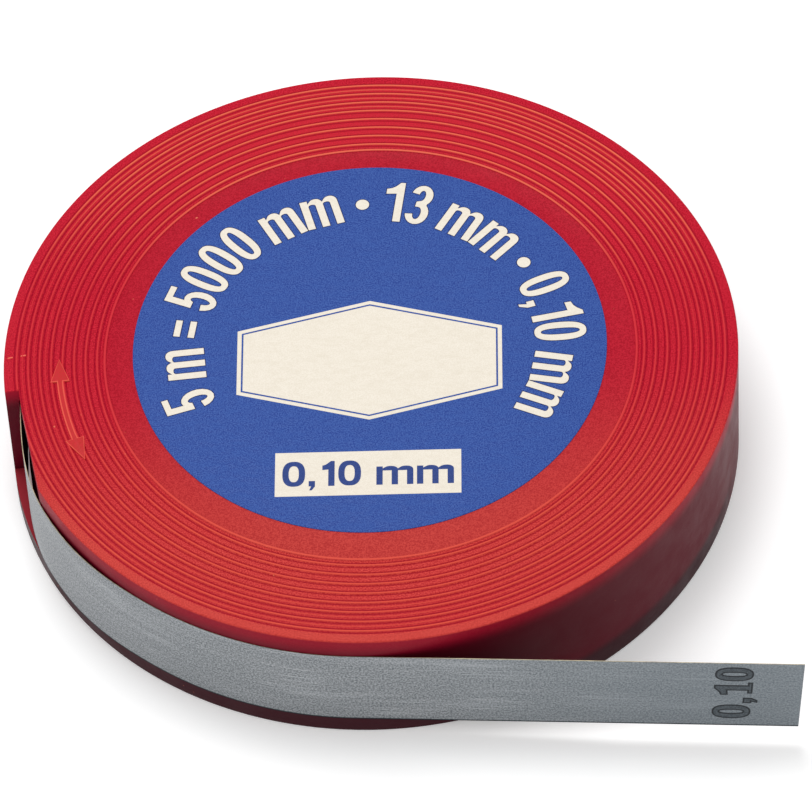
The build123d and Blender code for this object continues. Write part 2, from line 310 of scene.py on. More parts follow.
def red_plastic(name, tone=None, speckle=1.0):
    """Red moulded plastic: crimson, with a painted sheen that makes it paler and warmer towards the front, a
    fine grain and a few pale nicks.

    Without a tone it is the case, with painted light and shade by zones. A small raised shape has one tone of
    its own instead.
    """
    s = Shader(name)
    place = s.coords()
    x, y, z = s.split(place)
    # near rises towards the front of the case and far towards the back: they place the painted sheen
    near = s.ramp_mm(s.math("ADD", y, s.times(x, -0.1)), -2.0, -34.0)
    far = s.ramp_mm(y, 8.0, 32.0)
    if tone is None:
        zone = case_zones(s, x, y, z)
        tone = deep_red(s, zone, near, far)
    else:
        zone = None
    grain = s.noise(place, 5600.0, 2.0, 0.75)
    body = s.mix(s.ramp(grain, 0.41, 0.59, 0.0, speckle), tone, rgb(210, 34, 56))
    # painted sheen: paler and more orange towards the front
    front_sheen = s.mix(s.ramp(grain, 0.41, 0.59), rgb(174, 34, 38), rgb(218, 78, 68))
    body = s.mix(s.times(near, 0.85 * speckle), body, front_sheen)
    cloud = s.noise(place, 55.0, 3.0, 0.5)
    body = s.mix(s.ramp(cloud, 0.4, 0.75, 0.0, 0.16), body, rgb(204, 42, 50))
    if zone:
        body = top_shades(s, body, zone, near, far)
        body = wall_shades(s, body, zone, near)
    nicks = s.ramp(s.noise(place, 1500.0, 1.0, 0.4), 0.78, 0.84)
    patches = s.ramp(s.noise(place, 130.0, 1.0, 0.5), 0.48, 0.6)
    body = s.mix(s.times(nicks, patches, 0.7), body, rgb(244, 140, 104))
    s.set("Base Color", body)
    s.set("Roughness", s.ramp(s.noise(place, 220.0, 4.0, 0.6), 0.3, 0.7, 0.38, 0.5))
    s.set("Specular IOR Level", 0.07)
    s.bump(s.math("ADD", s.times(grain, 0.5), s.noise(place, 700.0, 3.0, 0.6)), 0.25, 0.00008)
    return s.material


def tape_steel(name, face, dark):
    """Rolled spring steel: a fine even speckle, with faint smears and scratches along the strip. Painted
    light makes it paler at the left, painted shade makes it darker along the straight run, and a painted
    shadow runs along its lower edge.

    The UV map is in millimetres: along the strip, and height.
    """
    s = Shader(name)
    along = s.coords("UV")
    height = s.split(along)[1]
    speckle = s.noise(along, 3.8, 3.0, 0.7)
    scratch = s.noise(s.coords("UV", (0.045, 9.0, 1.0)), 1.6, 2.0, 0.5)
    lines = s.noise(s.coords("UV", (0.10, 6.0, 1.0)), 1.4, 4.0, 0.6)
    smear = s.noise(s.coords("UV", (0.05, 0.35, 1.0)), 1.0, 4.0, 0.6)
    colour = s.mix(s.ramp(speckle, 0.35, 0.65), dark, face)
    colour = s.mix(s.ramp(smear, 0.52, 0.75, 0.0, 0.3), colour, rgb(184, 188, 192))
    colour = s.mix(s.ramp(lines, 0.62, 0.8, 0.0, 0.3), colour, rgb(190, 193, 196))
    colour = s.mix(s.ramp(lines, 0.4, 0.26, 0.0, 0.3), colour, rgb(104, 110, 116))
    worn = s.times(s.ramp(scratch, 0.55, 0.66), s.ramp(smear, 0.4, 0.58, 0.25, 1.0))
    colour = s.mix(s.times(worn, 0.5), colour, rgb(206, 208, 210))
    reach = s.split(s.coords())[0]
    # painted shade: darker along the straight run to the right
    colour = s.mix(s.ramp(reach, 2.0 * MM, 50.0 * MM, 0.0, 0.55), colour, rgb(112, 122, 129))
    # painted light: paler towards the left
    colour = s.mix(s.ramp(reach, -20.0 * MM, -44.0 * MM, 0.0, 0.1), colour, rgb(192, 190, 192))
    lower_edge = TAPE_LOW_Z / MM
    # painted shadow: a dark line along the tape's lower edge
    colour = s.mix(s.ramp(height, lower_edge + 0.3, lower_edge + 0.12), colour, rgb(34, 42, 48))
    s.set("Base Color", colour)
    s.set("Metallic", 1.0)
    s.set("Roughness", s.ramp(speckle, 0.25, 0.75, 0.58, 0.46))
    s.bump(s.math("ADD", speckle, s.times(lines, 0.4)), 0.12, 0.00004)
    return s.material


def plain_metal(name, colour, dark, low=0.28, high=0.46):
    """Plated steel: a slightly cloudy, finely scuffed metal."""
    s = Shader(name)
    place = s.coords()
    cloud = s.noise(place, 900.0, 4.0, 0.6)
    s.set("Base Color", s.mix(s.ramp(cloud, 0.3, 0.7), dark, colour))
    s.set("Metallic", 1.0)
    s.set("Roughness", s.ramp(s.noise(place, 270.0, 3.0, 0.6), 0.3, 0.7, low, high))
    s.bump(cloud, 0.1, 0.00003)
    return s.material


def black_plastic():
    """Black moulded plastic with a fine grain."""
    s = Shader("drum_plastic")
    place = s.coords()
    grain = s.noise(place, 1800.0, 3.0, 0.6)
    s.set("Base Color", s.mix(s.ramp(grain, 0.3, 0.7), rgb(24, 24, 26), rgb(44, 44, 46)))
    s.set("Roughness", s.ramp(s.noise(place, 300.0, 3.0, 0.6), 0.3, 0.7, 0.45, 0.6))
    s.set("Specular IOR Level", 0.4)
    s.bump(grain, 0.25, 0.00006)
    return s.material


def printed(name, colour, other, strength, roughness=0.62):
    """Ink on paper: a fine two-tone grain over a faint cloudiness."""
    s = Shader(name)
    place = s.coords()
    grain = s.noise(place, 5600.0, 2.0, 0.7)
    fibre = s.noise(s.coords("Object", (1.0, 2.4, 1.0)), 600.0, 4.0, 0.6)
    tone = s.mix(s.ramp(grain, 0.38, 0.62, 0.0, strength), colour, other)
    s.set("Base Color", s.mix(s.ramp(fibre, 0.4, 0.7, 0.0, 0.3), tone, other))
    s.set("Roughness", s.ramp(fibre, 0.3, 0.7, roughness - 0.06, roughness + 0.08))
    s.set("Specular IOR Level", 0.25)
    s.bump(fibre, 0.15, 0.00004)
    return s.material


def floor_paper():
    """Pale backdrop paper that glows faintly, so that it stays light under the object."""
    s = Shader("floor_paper")
    place = s.coords()
    s.set("Base Color", s.mix(s.noise(place, 60.0, 3.0), (0.93, 0.93, 0.93, 1), (0.96, 0.96, 0.96, 1)))
    s.set("Emission Color", (1.0, 1.0, 1.0, 1.0))
    s.set("Emission Strength", 0.24)
    s.set("Roughness", 0.9)
    s.set("Specular IOR Level", 0.1)
    return s.material


RED = red_plastic("case_plastic")
# The shoulders of the raised shapes and the tops of the witness marks are pale: painted highlights.
RELIEF_EDGE_HIGHLIGHT = red_plastic("relief_edge_highlight", rgb(236, 98, 80), 0.2)
RELIEF_FACE = red_plastic("relief_face", rgb(192, 52, 48), 0.55)
RELIEF_MARK_HIGHLIGHT = red_plastic("relief_mark_highlight", rgb(240, 120, 98), 0.2)
TAPE = tape_steel("tape_face", rgb(160, 163, 166), rgb(102, 108, 112))
# painted highlight: the tape's cut edges are a pale warm tone
TAPE_EDGE_HIGHLIGHT = plain_metal("tape_edge_highlight", rgb(196, 184, 156), rgb(160, 150, 128), 0.5, 0.62)
# painted shade: the wound stock and its edges are much darker than the tape, as the inside of the case is in
# shade
SHADED_STOCK = tape_steel("tape_stock", rgb(96, 98, 100), rgb(60, 64, 68))
SHADED_STOCK_EDGE = plain_metal("tape_stock_edge", rgb(84, 84, 82), rgb(56, 56, 56), 0.5, 0.62)
ZINC = plain_metal("zinc_plate", rgb(196, 198, 200), rgb(158, 160, 160))
SPRING = plain_metal("spring_steel", rgb(150, 150, 148), rgb(110, 110, 110))
BLACK = black_plastic()
BLUE = printed("label_blue", rgb(16, 54, 138), rgb(62, 96, 170), 1.0)
BLUE_DARK = printed("label_blue_dark", rgb(36, 58, 122), rgb(50, 74, 140), 0.8)
BLUE_LINE = printed("label_blue_line", rgb(18, 30, 80), rgb(34, 50, 112), 0.8)
CREAM = printed("label_cream", rgb(242, 234, 220), rgb(224, 214, 196), 0.5)
INK = printed("tape_ink", rgb(12, 16, 22), rgb(32, 38, 44), 0.9, 0.5)
INK_PALE = printed("tape_ink_pale", rgb(50, 58, 64), rgb(78, 86, 92), 0.9, 0.5)


# ---- mesh helpers -------------------------------------------------------------------------------
def new_piece(name, mesh, material, body, stands_for=(), sharp=35.0):
    """Link a finished mesh as a piece that rides on a body."""
    piece = bpy.data.objects.new(name, mesh)
    bpy.context.scene.collection.objects.link(piece)
    if not mesh.materials:
        mesh.materials.append(material)
    for face in mesh.polygons:
        face.use_smooth = True
    mesh.set_sharp_from_angle(angle=math.radians(sharp))
    if body:
        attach(piece, body)
    if stands_for:
        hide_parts(*stands_for)
    return piece


def lathe_mesh(name, profile, segments):
    """Turn a profile of (radius, height) in millimetres round Z. Points on the axis become poles."""
    bm = bmesh.new()
    rings = []
    for radius, height in profile:
        if radius < 1e-6:
            rings.append([bm.verts.new((0, 0, height * MM))])
            continue
        ring = []
        for index in range(segments):
            turn = 2 * math.pi * index / segments
            x, y = radius * MM * math.cos(turn), radius * MM * math.sin(turn)
            ring.append(bm.verts.new((x, y, height * MM)))
        rings.append(ring)
    for first, second in zip(rings, rings[1:]):
        for index in range(segments):
            after = (index + 1) % segments
            if len(first) == 1:
                bm.faces.new((first[0], second[index], second[after]))
            elif len(second) == 1:
                bm.faces.new((first[index], second[0], first[after]))
            else:
                bm.faces.new((first[index], second[index], second[after], first[after]))
    bmesh.ops.recalc_face_normals(bm, faces=bm.faces)
    mesh = bpy.data.meshes.new(name)
    bm.to_mesh(mesh)
    bm.free()
    return mesh


def prism_mesh(name, outline, low, high):
    """A straight-sided solid over an outline of (x, y) points in millimetres."""
    bm = bmesh.new()
    base = [bm.verts.new((x * MM, y * MM, low * MM)) for x, y in outline]
    top = [bm.verts.new((x * MM, y * MM, high * MM)) for x, y in outline]
    bm.faces.new(base)
    bm.faces.new(top)
    for index in range(len(outline)):
        after = (index + 1) % len(outline)
        bm.faces.new((base[index], base[after], top[after], top[index]))
    bmesh.ops.recalc_face_normals(bm, faces=bm.faces)
    mesh = bpy.data.meshes.new(name)
    bm.to_mesh(mesh)
    bm.free()
    return mesh


def joined(name, meshes):
    """One mesh that holds several, as separate closed shells."""
    bm = bmesh.new()
    for mesh in meshes:
        bm.from_mesh(mesh)
    whole = bpy.data.meshes.new(name)
    bm.to_mesh(whole)
    bm.free()
    for mesh in meshes:
        bpy.data.meshes.remove(mesh)
    return whole


def carved(mesh, cutters):
    """The mesh with other meshes cut out of it."""
    for cutter in cutters:
        target = bpy.data.objects.new("carve_target", mesh)
        tool = bpy.data.objects.new("carve_tool", cutter)
        for made in (target, tool):
            bpy.context.scene.collection.objects.link(made)
        boolean = target.modifiers.new("carve", "BOOLEAN")
        boolean.operation = "DIFFERENCE"
        boolean.solver = "EXACT"
        boolean.object = tool
        shown = target.evaluated_get(bpy.context.evaluated_depsgraph_get())
        result = bpy.data.meshes.new_from_object(shown)
        bpy.data.objects.remove(target)
        bpy.data.objects.remove(tool)
        bpy.data.meshes.remove(mesh)
        bpy.data.meshes.remove(cutter)
        mesh = result
    return mesh


def arc_points(radius, start, end, steps):
    return [polar(radius, start + (end - start) * index / steps) for index in range(steps + 1)]


def rounded_corner(centre_r, centre_z, radius, start, end, steps):
    """Profile points round a corner, as (radius, height), by angle in the profile plane."""
    points = []
    for index in range(steps + 1):
        turn = math.radians(start + (end - start) * index / steps)
        points.append((centre_r + radius * math.cos(turn), centre_z + radius * math.sin(turn)))
    return points


def bead(radius, floor, half_width, height, groove, steps):
    """Profile points over one smooth ring, with a groove of this depth on each side of it, or none at 0."""
    points = []
    if groove:
        outer = radius - half_width - 2 * GROOVE_HALF_W
        points += [(outer, floor), (outer + GROOVE_HALF_W, floor - groove)]
    for index in range(steps + 1):
        share = index / steps * 2 - 1
        lift = height * (0.5 + 0.5 * math.cos(math.pi * share)) ** 0.8
        points.append((radius + half_width * share, floor + lift))
    if groove:
        outer = radius + half_width + 2 * GROOVE_HALF_W
        points += [(outer - GROOVE_HALF_W, floor - groove), (outer, floor)]
    return points


# ---- case ---------------------------------------------------------------------------------------
def top_profile():
    """The top of the case, from the middle out to the start of the edge round."""
    points = [(0.0, RECESS_Z), (RECESS_R - 3.0, RECESS_Z), (RECESS_R - 0.1, RECESS_Z)]
    points += [(RECESS_R + 0.04, RECESS_Z + 0.06), (RECESS_R + 0.12, PLAIN_Z + 0.06),
               (RECESS_LIP_R, PLAIN_Z + 0.1), (RECESS_R + 0.42, PLAIN_Z + 0.06),
               (RECESS_R + 0.55, PLAIN_Z - 0.05), (RECESS_R + 0.7, PLAIN_Z)]
    for index in range(RING_COUNT):
        radius = RING_FIRST_R + index * RING_PITCH
        if index >= MINOR_FROM:
            points += bead(radius - RING_PITCH / 2, PLAIN_Z, MINOR_HALF_W, MINOR_H, 0.0, 4)
        points += bead(radius, PLAIN_Z, RING_HALF_W, RING_H, GROOVE_D, 8)
    return points + [(MARGIN_INNER_R + 0.1, MARGIN_Z)]


def case_shell():
    """The case: a turned shell with its centre post, then the cuts for the tape's slot."""
    case_r = CASE_R / MM
    profile = top_profile()
    profile += rounded_corner(case_r - EDGE_ROUND, MARGIN_Z - EDGE_ROUND, EDGE_ROUND, 90, 0, 7)
    for height in (16.0, 12.0, 8.0, 4.0):
        profile.append((case_r, height))
    profile += rounded_corner(case_r - FOOT_ROUND, FOOT_ROUND, FOOT_ROUND, 0, -90, 4)
    profile += [(INNER_R + 0.2, 0.0), (INNER_R, 0.2), (INNER_R, LEDGE_Z), (INNER_R, ROOF_UNDER_Z)]
    profile += [(POST_R + 0.4, ROOF_UNDER_Z), (POST_R, ROOF_UNDER_Z - 0.4), (POST_R, POST_END_Z)]
    profile += [(BORE_R, POST_END_Z), (BORE_R, BORE_TOP_Z), (0.0, BORE_TOP_Z + 0.3)]
    mesh = lathe_mesh("case_shell", profile, CASE_SEGMENTS)
    far = case_r + 4
    reach = math.degrees(math.acos(COVER_CUT_R / case_r)) + 1
    edge = arc_points(COVER_CUT_R, SLOT_START, FACET_START, 8)
    edge += [polar(COVER_CUT_R / math.cos(math.radians(reach)), FACET_START + reach)]
    edge += [polar(far, FACET_START + reach), polar(far + 1, FACET_START), polar(far, SLOT_START)]
    window = arc_points(INNER_R - 1, SLOT_START, SLOT_END, 8)
    window += [polar(far - 1, SLOT_END), polar(far - 1, SLOT_START)]
    over = prism_mesh("cut_over", edge, LEDGE_Z, CASE_TOP / MM + 1)
    through = prism_mesh("cut_through", window, LEDGE_Z + 0.001, ROOF_UNDER_Z - 0.001)
    mesh = carved(mesh, [over, through])
    new_piece("case_shell", mesh, RED, "case", ("upper_shell",), 28.0)


def relief_mesh(name, outline, low, high, inset, drop, face_slot):
    """A raised flat shape with a small sloping shoulder, from an outline in millimetres."""
    bm = bmesh.new()
    face = bm.faces.new([bm.verts.new((x * MM, y * MM, low * MM)) for x, y in outline])
    bm.normal_update()
    if face.normal.z < 0:
        bmesh.ops.reverse_faces(bm, faces=[face])
    lifted = bmesh.ops.extrude_face_region(bm, geom=[face])
    verts = [v for v in lifted["geom"] if isinstance(v, bmesh.types.BMVert)]
    bmesh.ops.translate(bm, verts=verts, vec=(0, 0, (high - drop - low) * MM))
    top = [f for f in lifted["geom"] if isinstance(f, bmesh.types.BMFace)][0]
    bmesh.ops.inset_individual(bm, faces=[top], thickness=inset * MM, depth=drop * MM)
    top.material_index = face_slot
    bmesh.ops.recalc_face_normals(bm, faces=bm.faces)
    mesh = bpy.data.meshes.new(name)
    bm.to_mesh(mesh)
    bm.free()
    return mesh


ARROW_SLOT = 1            # material slots for the flat tops; the shoulders take slot 0
MARK_SLOT = 2


def case_relief():
    """The raised double arrow and the two witness marks."""
    half = ARROW_SHAFT_W / 2
    first = ARROW_START + ARROW_HEAD
    last = ARROW_END - ARROW_HEAD
    outline = [polar(ARROW_R, ARROW_START), polar(ARROW_R - ARROW_HEAD_W / 2, first)]
    outline += arc_points(ARROW_R - half, first, last, 14)
    outline += [polar(ARROW_R - ARROW_HEAD_W / 2, last), polar(ARROW_R, ARROW_END)]
    outline += [polar(ARROW_R + ARROW_HEAD_W / 2, last)]
    outline += arc_points(ARROW_R + half, last, first, 14)
    outline += [polar(ARROW_R + ARROW_HEAD_W / 2, first)]
    meshes = [relief_mesh("arrow", outline, RECESS_Z - 0.2, CASE_TOP / MM, 0.17, 0.06, ARROW_SLOT)]
    for inner, outer in MARK_SPANS:
        turn = math.degrees(MARK_W / 2 / inner)
        lean = (outer - MARK_LEVEL_R) * MARK_LEAN
        start = MARK_ANGLE + (inner - MARK_LEVEL_R) * MARK_LEAN
        mark = [polar(inner, start - turn), polar(outer, MARK_ANGLE + lean - turn),
                polar(outer, MARK_ANGLE + lean + turn), polar(inner, start + turn)]
        meshes.append(relief_mesh("mark", mark, RECESS_Z - 0.1, MARGIN_Z + 0.07, 0.05, 0.04, MARK_SLOT))
    whole = joined("case_relief", meshes)
    # slot 0, the shoulders, and slot 2, the marks' tops, carry painted highlights
    for material in (RELIEF_EDGE_HIGHLIGHT, RELIEF_FACE, RELIEF_MARK_HIGHLIGHT):
        whole.materials.append(material)
    new_piece("case_relief", whole, RELIEF_EDGE_HIGHLIGHT, "case", (), 40.0)


# ---- label --------------------------------------------------------------------------------------
LABEL_R = (LABEL_HIGH.x - LABEL_LOW.x) / 2
LABEL_MIDDLE = (LABEL_LOW + LABEL_HIGH) / 2
LABEL_TOP = LABEL_HIGH.z
LABEL_CENTRE = Matrix.Translation((LABEL_MIDDLE.x, LABEL_MIDDLE.y, LABEL_TOP))
ON_LABEL = LABEL_CENTRE @ Matrix.Rotation(LABEL_TURN, 4, "Z")


def label_sheet():
    """The round blue label, with a slightly softened edge."""
    edge = LABEL_R / MM
    low = LABEL_LOW.z / MM
    high = LABEL_TOP / MM
    profile = [(0.0, high), (edge * 0.5, high), (edge - 0.08, high), (edge - 0.02, high - 0.02),
               (edge, high - 0.05), (edge, low), (0.0, low)]
    mesh = lathe_mesh("label_sheet", profile, 288)
    mesh.transform(Matrix.Translation((LABEL_MIDDLE.x, LABEL_MIDDLE.y, 0)))
    new_piece("label_sheet", mesh, BLUE, "case", ("front_label",))


def ellipse_points(centre, half_w, half_h, start, end, steps=14, square=2.0):
    """Points along part of an ellipse, squarer as square rises, by angle in degrees."""
    points = []
    for index in range(steps + 1):
        turn = math.radians(start + (end - start) * index / steps)
        across, up = math.cos(turn), math.sin(turn)
        points.append((centre[0] + half_w * math.copysign(abs(across) ** (2 / square), across),
                       centre[1] + half_h * math.copysign(abs(up) ** (2 / square), up)))
    return points


# Each figure below is one unit tall, with its left edge at 0. It returns its closed outlines and its width.
LOWER_CASE = 0.73            # height of the letter m
M_WIDTH = 1.62               # its width over a figure's
FLAT_SHARE = 0.85            # thickness of a level stroke over an upright one


def figure_zero(width, stroke, thin):
    middle = (width / 2, 0.5)
    outer = ellipse_points(middle, width / 2, 0.5, 0, 360, 48, 2.5)[:-1]
    inner = ellipse_points(middle, width / 2 - stroke, 0.5 - thin, 0, 360, 48, 2.5)[:-1]
    return [outer, inner], width


def figure_one(width, stroke, thin):
    left = width * 0.42
    right = left + stroke
    loop = [(right, 0.0), (right, 1.0), (right - stroke * 0.6, 1.0), (left - 0.03, 0.9), (left - 0.1, 0.85)]
    loop += [(left - 0.2, 0.82), (left - 0.2, 0.82 - thin), (left, 0.84 - thin), (left, 0.0)]
    return [loop], right


def footed_one(width, stroke, thin):
    (loop,), right = figure_one(width, stroke, thin)
    left = right - stroke
    foot = thin * 0.6
    loop = [(right, foot), *loop[1:-1], (left, foot), (left - 0.13, foot), (left - 0.13, 0.0)]
    loop += [(right + 0.13, 0.0), (right + 0.13, foot)]
    return [loop], right + 0.1


def figure_three(width, stroke, thin):
    upper, lower = (width / 2, 0.74), (width / 2, 0.285)
    loop = ellipse_points(upper, width * 0.47, 0.26, 170, -48)
    loop += ellipse_points(lower, width / 2, 0.285, 52, -168)
    loop += ellipse_points(lower, width / 2 - stroke, 0.285 - thin, -168, 84)
    loop += [(width * 0.34, 0.57 - thin), (width * 0.34, 0.57)]
    loop += ellipse_points(upper, width * 0.47 - stroke, 0.26 - thin, -84, 170)
    return [loop], width


def figure_five(width, stroke, thin):
    bowl = (width / 2, 0.325)
    loop = [(width * 0.92, 1.0), (width * 0.92, 1.0 - thin), (width * 0.1 + thin, 1.0 - thin),
            (width * 0.08 + thin, 0.61)]
    loop += ellipse_points(bowl, width / 2, 0.325, 108, -168)
    loop += ellipse_points(bowl, width / 2 - stroke, 0.325 - thin, -168, 140)
    loop += [(0.01, 0.45), (width * 0.07, 1.0)]
    return [loop], width


def letter_m(width, stroke, thin):
    width *= M_WIDTH
    gap = (width - 3 * stroke) / 2
    reach = gap + stroke
    loop = [(0.0, 0.0), (0.0, LOWER_CASE), (stroke, LOWER_CASE), (stroke, LOWER_CASE - 0.08)]
    for start, end_angle in ((stroke, 15), (2 * stroke + gap, 0)):
        centre = (start + reach * 0.52, LOWER_CASE - 0.14)
        loop += ellipse_points(centre, reach * 0.48, 0.155, 140, end_angle, 10, 2.2)
    loop += [(width, 0.0), (width - stroke, 0.0)]
    for start in (2 * stroke + gap, stroke):
        centre = (start + gap * 0.5, LOWER_CASE - 0.16)
        loop += ellipse_points(centre, gap * 0.5, 0.175 - thin, 0, 180, 10, 2.2)
        loop += [(start, 0.0), (start - stroke, 0.0)]
    return [loop[:-1]], width


def comma(width, stroke, thin):
    loop = [(0.0, stroke), (stroke, stroke), (stroke, -0.01), (stroke * 0.5, -0.16)]
    loop += [(stroke * 0.1, -0.16), (stroke * 0.4, 0.0), (0.0, 0.0)]
    return [loop], stroke


def equals(width, stroke, thin):
    wide = width * 0.9
    bars = [[(0.0, low), (wide, low), (wide, low + thin), (0.0, low + thin)] for low in (0.22, 0.50)]
    return bars, wide


def round_dot(width, stroke, thin):
    radius = 0.13
    return [ellipse_points((radius, 0.42), radius, radius, 0, 360, 32)[:-1]], 2 * radius


FIGURES = {
    "0": figure_zero,
    "1": figure_one,
    "3": figure_three,
    "5": figure_five,
    "m": letter_m,
    ",": comma,
    "=": equals,
    "•": round_dot,
}
FOOTED_FIGURES = {**FIGURES, "1": footed_one}     # for the tape


def figure_mesh(loops, size, grow, thickness):
    """A thin flat solid from closed outlines in units of the figure height."""
    curve = bpy.data.curves.new("figure", "CURVE")
    curve.dimensions = "2D"
    curve.fill_mode = "BOTH"
    curve.extrude = thickness / 2
    curve.offset = grow
    for loop in loops:
        spline = curve.splines.new("POLY")
        spline.points.add(len(loop) - 1)
        for point, (x, y) in zip(spline.points, loop):
            point.co = (x * size, y * size, 0, 1)
        spline.use_cyclic_u = True
    holder = bpy.data.objects.new("figure", curve)
    bpy.context.scene.collection.objects.link(holder)
    shown = holder.evaluated_get(bpy.context.evaluated_depsgraph_get())
    mesh = bpy.data.meshes.new_from_object(shown)
    mesh.transform(Matrix.Translation((0, 0, thickness / 2)))
    bpy.data.objects.remove(holder)
    bpy.data.curves.remove(curve)
    bm = bmesh.new()
    bm.from_mesh(mesh)
    bmesh.ops.remove_doubles(bm, verts=bm.verts, dist=1e-7)
    bmesh.ops.recalc_face_normals(bm, faces=bm.faces)
    bm.to_mesh(mesh)
    bm.free()
    return mesh


def figure_line(text, size, width, stroke, gap, space, figures=FIGURES):
    """Where each figure of a line goes: its outlines, its left edge and its width, and the line's length."""
    placed = []
    at = 0.0
    for character in text:
        if character == " ":
            at += space - gap
            continue
        loops, wide = figures[character](width, stroke, stroke * FLAT_SHARE)
        placed.append((loops, at, wide * size))
        at += wide * size + gap
    return placed, at - gap


def straight_line(text, size, width, stroke, gap, space, grow, thickness, figures=FIGURES):
    """One mesh of a straight line of figures, centred on X with its baseline on Y = 0."""
    placed, length = figure_line(text, size, width, stroke, gap, space, figures)
    meshes = []
    for loops, at, _ in placed:
        mesh = figure_mesh(loops, size, grow, thickness)
        mesh.transform(Matrix.Translation((at - length / 2, 0, 0)))
        meshes.append(mesh)
    return joined("figures", meshes)


def stretched(mesh, length):
    """The mesh stretched along X to this length."""
    xs = [v.co.x for v in mesh.vertices]
    mesh.transform(Matrix.Diagonal((length / (max(xs) - min(xs)), 1.0, 1.0, 1.0)))
    return mesh


ARC_TEXT = "5 m = 5000 mm • 13 mm • 0,10 mm"
ARC_BASE_R = 21.6 * MM
ARC_START = 204.0
ARC_END = -30.0
ARC_SIZE = 6.8 * MM
ARC_WIDTH = 0.45
ARC_STROKE = 0.146
ARC_GAP = 0.55 * MM


def arc_line(name, grow, material, low, thickness):
    """The figures round the top of the label, one at a time along their arc."""
    middle_r = ARC_BASE_R + ARC_SIZE * 0.3
    total = math.radians(ARC_START - ARC_END) * middle_r
    _, bare = figure_line(ARC_TEXT, ARC_SIZE, ARC_WIDTH, ARC_STROKE, ARC_GAP, 0.0)
    space = (total - bare) / ARC_TEXT.count(" ")
    placed, _ = figure_line(ARC_TEXT, ARC_SIZE, ARC_WIDTH, ARC_STROKE, ARC_GAP, space)
    meshes = []
    for loops, at, wide in placed:
        turn = math.radians(ARC_START) - (at + wide / 2) / middle_r
        mesh = figure_mesh(loops, ARC_SIZE, grow, thickness)
        place = Matrix.Rotation(turn - math.pi / 2, 4, "Z") @ Matrix.Translation((-wide / 2, ARC_BASE_R, low))
        mesh.transform(ON_LABEL @ place)
        meshes.append(mesh)
    new_piece(name, joined(name, meshes), material, "case")


HEX_HALF_W = 17.3
HEX_SIDE = 10.7
HEX_TALL = 20.1
HEX_AT = (0.0, -2.4)
PANEL_LINE = (0.55, 0.78)    # the fine line inside the panel's edge, from and to
BOX_W = 24.0
BOX_H = 7.2
BOX_AT = (-0.1, -21.3)
BOX_FIGURES_W = 22.1
BOX_BASE_DROP = 2.0          # the figures' baseline below the middle of the box


def hexagon(shrink):
    """The blank panel's outline, this much smaller all round, in millimetres on the label."""
    slope = math.atan2((HEX_TALL - HEX_SIDE) / 2, HEX_HALF_W)
    half = HEX_HALF_W - shrink
    tip = HEX_TALL / 2 - shrink / math.cos(slope)
    side = tip - half * math.tan(slope)
    x, y = HEX_AT
    lower = [(x - half, y - side), (x, y - tip), (x + half, y - side)]
    return lower + [(x + half, y + side), (x, y + tip), (x - half, y + side)]


def flat_print(name, outlines, material, low):
    """Flat printed shapes on the label, from outlines in millimetres."""
    meshes = [prism_mesh(name, outline, low / MM, (low + PRINT_T) / MM) for outline in outlines]
    whole = joined(name, meshes)
    whole.transform(ON_LABEL)
    new_piece(name, whole, material, "case")


def frame_strips(outer, inner):
    """Four-sided pieces that fill the space between two outlines with the same number of corners."""
    strips = []
    for index in range(len(outer)):
        after = (index + 1) % len(outer)
        strips.append([outer[index], outer[after], inner[after], inner[index]])
    return strips


def label_art():
    """The blank panel, the size box and the line of figures round the top."""
    flat_print("label_panel", [hexagon(0.0)], CREAM, -SUNK)
    line = frame_strips(hexagon(PANEL_LINE[0]), hexagon(PANEL_LINE[1]))
    flat_print("label_panel_line", line, BLUE, PRINT_T - 2 * SUNK)
    x, y = BOX_AT
    left, right = x - BOX_W / 2, x + BOX_W / 2
    low, high = y - BOX_H / 2, y + BOX_H / 2
    flat_print("label_box", [[(left, low), (right, low), (right, high), (left, high)]], CREAM, -SUNK)
    figures = straight_line("0,10 mm", 4.1 * MM, 0.76, 0.21, 0.5 * MM, 2.1 * MM, 0.0, PRINT_T)
    figures = stretched(figures, BOX_FIGURES_W * MM)
    figures.transform(Matrix.Translation((x * MM, y * MM - BOX_BASE_DROP * MM, PRINT_T - 2 * SUNK)))
    figures.transform(ON_LABEL)
    new_piece("label_box_figures", figures, BLUE_DARK, "case")
    arc_line("label_arc_edge", 0.12 * MM, BLUE_LINE, -SUNK, PRINT_T * 0.6)
    arc_line("label_arc_figures", 0.0, CREAM, 0.0, PRINT_T)


# ---- tape ---------------------------------------------------------------------------------------
def tape_path():
    """Points along the tape's outer face in plan, in millimetres, from inside the case to the free end."""
    wrap_r = WRAP_R / MM
    points = arc_points(LEAD_R, LEAD_START, LEAD_END, 40)[:-1]
    steps = 100
    for index in range(steps):
        angle = LEAD_END + (WRAP_START - LEAD_END) * index / steps
        share = min((angle - LEAD_END) / (CROSS_END - LEAD_END), 1.0)
        radius = LEAD_R + (wrap_r - LEAD_R) * share * share * (3 - 2 * share)
        if angle > BULGE_START:
            swell = math.sin(math.pi * (angle - BULGE_START) / (WRAP_START - BULGE_START))
            radius += BULGE * swell * swell
        points.append(polar(radius, angle))
    points += arc_points(wrap_r, WRAP_START, LEAVE_ANGLE, 60)
    run = RUN_END_X / MM
    run_steps = 60
    for index in range(1, run_steps + 1):
        points.append((run * index / run_steps, -wrap_r))
    return points


